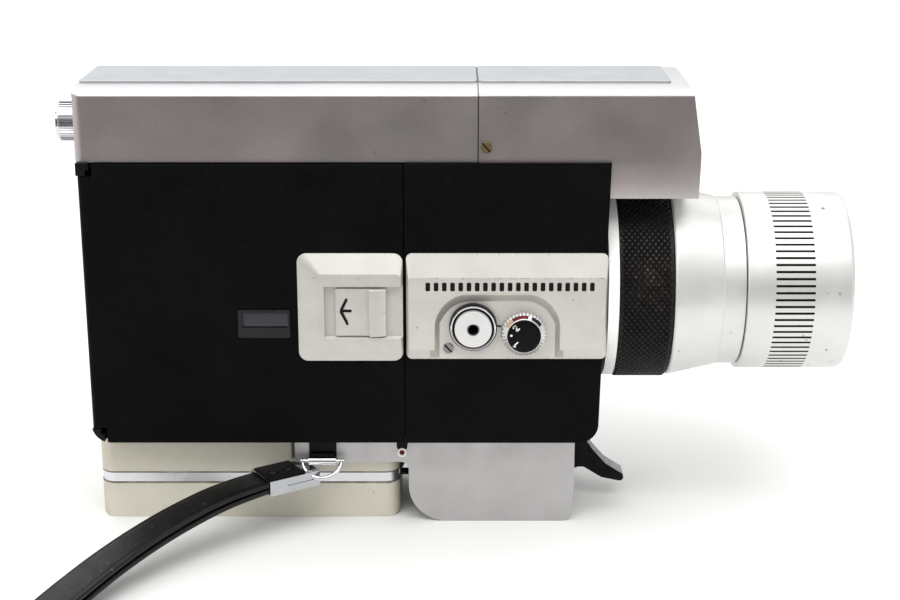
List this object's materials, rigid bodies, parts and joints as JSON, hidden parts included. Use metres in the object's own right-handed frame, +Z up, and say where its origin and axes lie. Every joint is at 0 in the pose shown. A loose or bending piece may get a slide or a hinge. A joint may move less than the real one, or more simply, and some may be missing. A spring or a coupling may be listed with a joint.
{
  "type": "cine camera",
  "caption": "Small-format cine camera with a zoom lens, side film door, top hood, trigger, folding hand grip and wrist strap.",
  "frame": {"origin": "mouth of the tripod socket, in the plane the camera stands on", "axes": "+X along the lens, +Z up, the film door faces -Y"},
  "size_m": [0.2184, 0.1587, 0.1159],
  "materials": {
    "body_casting": "matte",
    "side_panel": "fine grain",
    "left_cover": "fine grain",
    "rear_top_cover": "satin",
    "front_top_cover": "satin",
    "rear_top_plate": "satin",
    "front_top_plate": "satin",
    "cover_screws": "dull",
    "finder_tube": "black anodised",
    "finder_window": "clear",
    "meter_window": "clear",
    "eyepiece_glass": "clear",
    "door_hinge_pin": "plain",
    "control_plate": "warm satin",
    "plate_screw": "bright",
    "button_collar": "black",
    "release_switch": "moulded",
    "lens_flange": "satin",
    "lens_tube": "black anodised",
    "barrel_sleeve": "bright satin",
    "iris_plate": "blackened",
    "rear_cell": "black anodised",
    "rear_glass": "coated",
    "film_gate": "polished",
    "motor_bracket": "plain",
    "drive_motor": "plated",
    "battery_contacts": "plated",
    "grip_block": "satin",
    "tripod_bush": "threaded",
    "grip_pivot_pin": "plain",
    "trigger_pin": "plain",
    "strap_bracket": "black",
    "strap_tube": "polished",
    "eyepiece_ring": "knurled",
    "film_door": "fine grain",
    "window_frame": "satin",
    "window_pane": "smoked",
    "latch_plate": "warm satin",
    "latch_slider": "warm satin",
    "release_button": "polished",
    "mode_dial": "polished rim, black face",
    "zoom_ring": "diamond knurled, worn",
    "variator_cell": "black anodised",
    "variator_glass": "coated",
    "focus_ring": "bright satin, black grip lines",
    "front_cell": "black anodised",
    "front_glass": "coated",
    "shutter_disc": "blackened",
    "motor_shaft": "plain",
    "takeup_spindle": "moulded",
    "counter_dial": "printed",
    "battery_door": "fine grain",
    "grip_spine": "polished",
    "upper_grip_shell": "cream, satin",
    "lower_grip_shell": "cream, satin",
    "trigger": "satin",
    "strap_ring": "polished",
    "strap_clip": "polished",
    "clip_rivets": "black inlay with rivets",
    "wrist_strap": "smooth"
  },
  "bodies": {
    "camera_body": {"body_casting": "body_casting", "side_panel": "side_panel", "left_cover": "left_cover", "rear_top_cover": "rear_top_cover", "front_top_cover": "front_top_cover", "rear_top_plate": "rear_top_plate", "front_top_plate": "front_top_plate", "cover_screws": "cover_screws", "finder_tube": "finder_tube", "finder_window": "finder_window", "meter_window": "meter_window", "eyepiece_glass": "eyepiece_glass", "door_hinge_pin": "door_hinge_pin", "control_plate": "control_plate", "plate_screw": "plate_screw", "button_collar": "button_collar", "release_switch": "release_switch", "lens_flange": "lens_flange", "lens_tube": "lens_tube", "barrel_sleeve": "barrel_sleeve", "iris_plate": "iris_plate", "rear_cell": "rear_cell", "rear_glass": "rear_glass", "film_gate": "film_gate", "motor_bracket": "motor_bracket", "drive_motor": "drive_motor", "battery_contacts": "battery_contacts", "grip_block": "grip_block", "tripod_bush": "tripod_bush", "grip_pivot_pin": "grip_pivot_pin", "trigger_pin": "trigger_pin", "strap_bracket": "strap_bracket", "strap_tube": "strap_tube"},
    "eyepiece": {"eyepiece_ring": "eyepiece_ring"},
    "door": {"film_door": "film_door", "window_frame": "window_frame", "window_pane": "window_pane", "latch_plate": "latch_plate"},
    "latch": {"latch_slider": "latch_slider"},
    "button": {"release_button": "release_button"},
    "dial": {"mode_dial": "mode_dial"},
    "zoom": {"zoom_ring": "zoom_ring"},
    "variator": {"variator_cell": "variator_cell", "variator_glass": "variator_glass"},
    "focus": {"focus_ring": "focus_ring"},
    "front_group": {"front_cell": "front_cell", "front_glass": "front_glass"},
    "shutter": {"shutter_disc": "shutter_disc"},
    "motor": {"motor_shaft": "motor_shaft"},
    "takeup": {"takeup_spindle": "takeup_spindle"},
    "counter": {"counter_dial": "counter_dial"},
    "battery_cover": {"battery_door": "battery_door"},
    "grip": {"grip_spine": "grip_spine", "upper_grip_shell": "upper_grip_shell", "lower_grip_shell": "lower_grip_shell"},
    "trigger_lever": {"trigger": "trigger"},
    "wrist_loop": {"strap_ring": "strap_ring", "strap_clip": "strap_clip", "clip_rivets": "clip_rivets", "wrist_strap": "wrist_strap"}
  },
  "joints": [
    {"name": "door_hinge", "type": "hinge", "parent": "camera_body", "child": "door", "pos_m": [-0.1104, -0.0216, 0.061], "axis": [0, 0, -1], "range_deg": [0, 100]},
    {"name": "latch_slide", "type": "slide", "parent": "door", "child": "latch", "axis": [-1, 0, 0], "range_m": [0, 0.0022], "stiffness_N_per_m": 150},
    {"name": "button_press", "type": "slide", "parent": "camera_body", "child": "button", "axis": [0, 1, 0], "range_m": [0, 0.0024], "stiffness_N_per_m": 200},
    {"name": "dial_turn", "type": "hinge", "parent": "camera_body", "child": "dial", "pos_m": [-0.0015, -0.027, 0.0543], "axis": [0, 1, 0], "range_deg": [-45, 45]},
    {"name": "zoom_turn", "type": "hinge", "parent": "camera_body", "child": "zoom", "pos_m": [0.0293, 0, 0.0612], "axis": [1, 0, 0], "range_deg": [0, 90]},
    {"name": "variator_slide", "type": "slide", "parent": "camera_body", "child": "variator", "axis": [1, 0, 0], "range_m": [0, 0.014]},
    {"name": "focus_turn", "type": "hinge", "parent": "camera_body", "child": "focus", "pos_m": [0.068, 0, 0.0612], "axis": [1, 0, 0], "range_deg": [0, 200]},
    {"name": "front_group_slide", "type": "slide", "parent": "camera_body", "child": "front_group", "axis": [1, 0, 0], "range_m": [0, 0.0022]},
    {"name": "eyepiece_turn", "type": "hinge", "parent": "camera_body", "child": "eyepiece", "pos_m": [-0.117, 0, 0.1038], "axis": [1, 0, 0], "range_deg": [-60, 60]},
    {"name": "motor_spin", "type": "hinge", "parent": "camera_body", "child": "motor", "pos_m": [-0.0303, 0.0132, 0.04437], "axis": [1, 0, 0], "continuous": true},
    {"name": "shutter_spin", "type": "hinge", "parent": "camera_body", "child": "shutter", "pos_m": [-0.0303, 0, 0.0472], "axis": [1, 0, 0], "continuous": true},
    {"name": "takeup_spin", "type": "hinge", "parent": "camera_body", "child": "takeup", "pos_m": [-0.066, 0.006, 0.061], "axis": [0, 1, 0], "continuous": true},
    {"name": "counter_turn", "type": "hinge", "parent": "camera_body", "child": "counter", "pos_m": [-0.008, 0.021, 0.084], "axis": [0, 1, 0], "range_deg": [0, 320]},
    {"name": "battery_hinge", "type": "hinge", "parent": "camera_body", "child": "battery_cover", "pos_m": [-0.094, 0.0219, 0.03], "axis": [-1, 0, 0], "range_deg": [0, 85]},
    {"name": "grip_fold", "type": "hinge", "parent": "camera_body", "child": "grip", "pos_m": [-0.0325, 0, 0.0194], "axis": [0, -1, 0], "range_deg": [0, 90]},
    {"name": "trigger_pull", "type": "hinge", "parent": "camera_body", "child": "trigger_lever", "pos_m": [0.012, 0, 0.029], "axis": [0, 1, 0], "range_deg": [0, 8], "stiffness_Nm_per_rad": 0.3},
    {"name": "strap_swing", "type": "hinge", "parent": "camera_body", "child": "wrist_loop", "pos_m": [-0.0532, -0.0204, 0.018], "axis": [-1, 0, 0], "range_deg": [0, 10]}
  ],
  "couplings": [
    {"joint": "variator_slide", "follows": "zoom_turn", "m_per_rad": 0.0089},
    {"joint": "front_group_slide", "follows": "focus_turn", "m_per_rad": 0.00063},
    {"joint": "motor_spin", "follows": "shutter_spin", "ratio": -3.5},
    {"joint": "takeup_spin", "follows": "shutter_spin", "ratio": -0.072917}
  ]
}
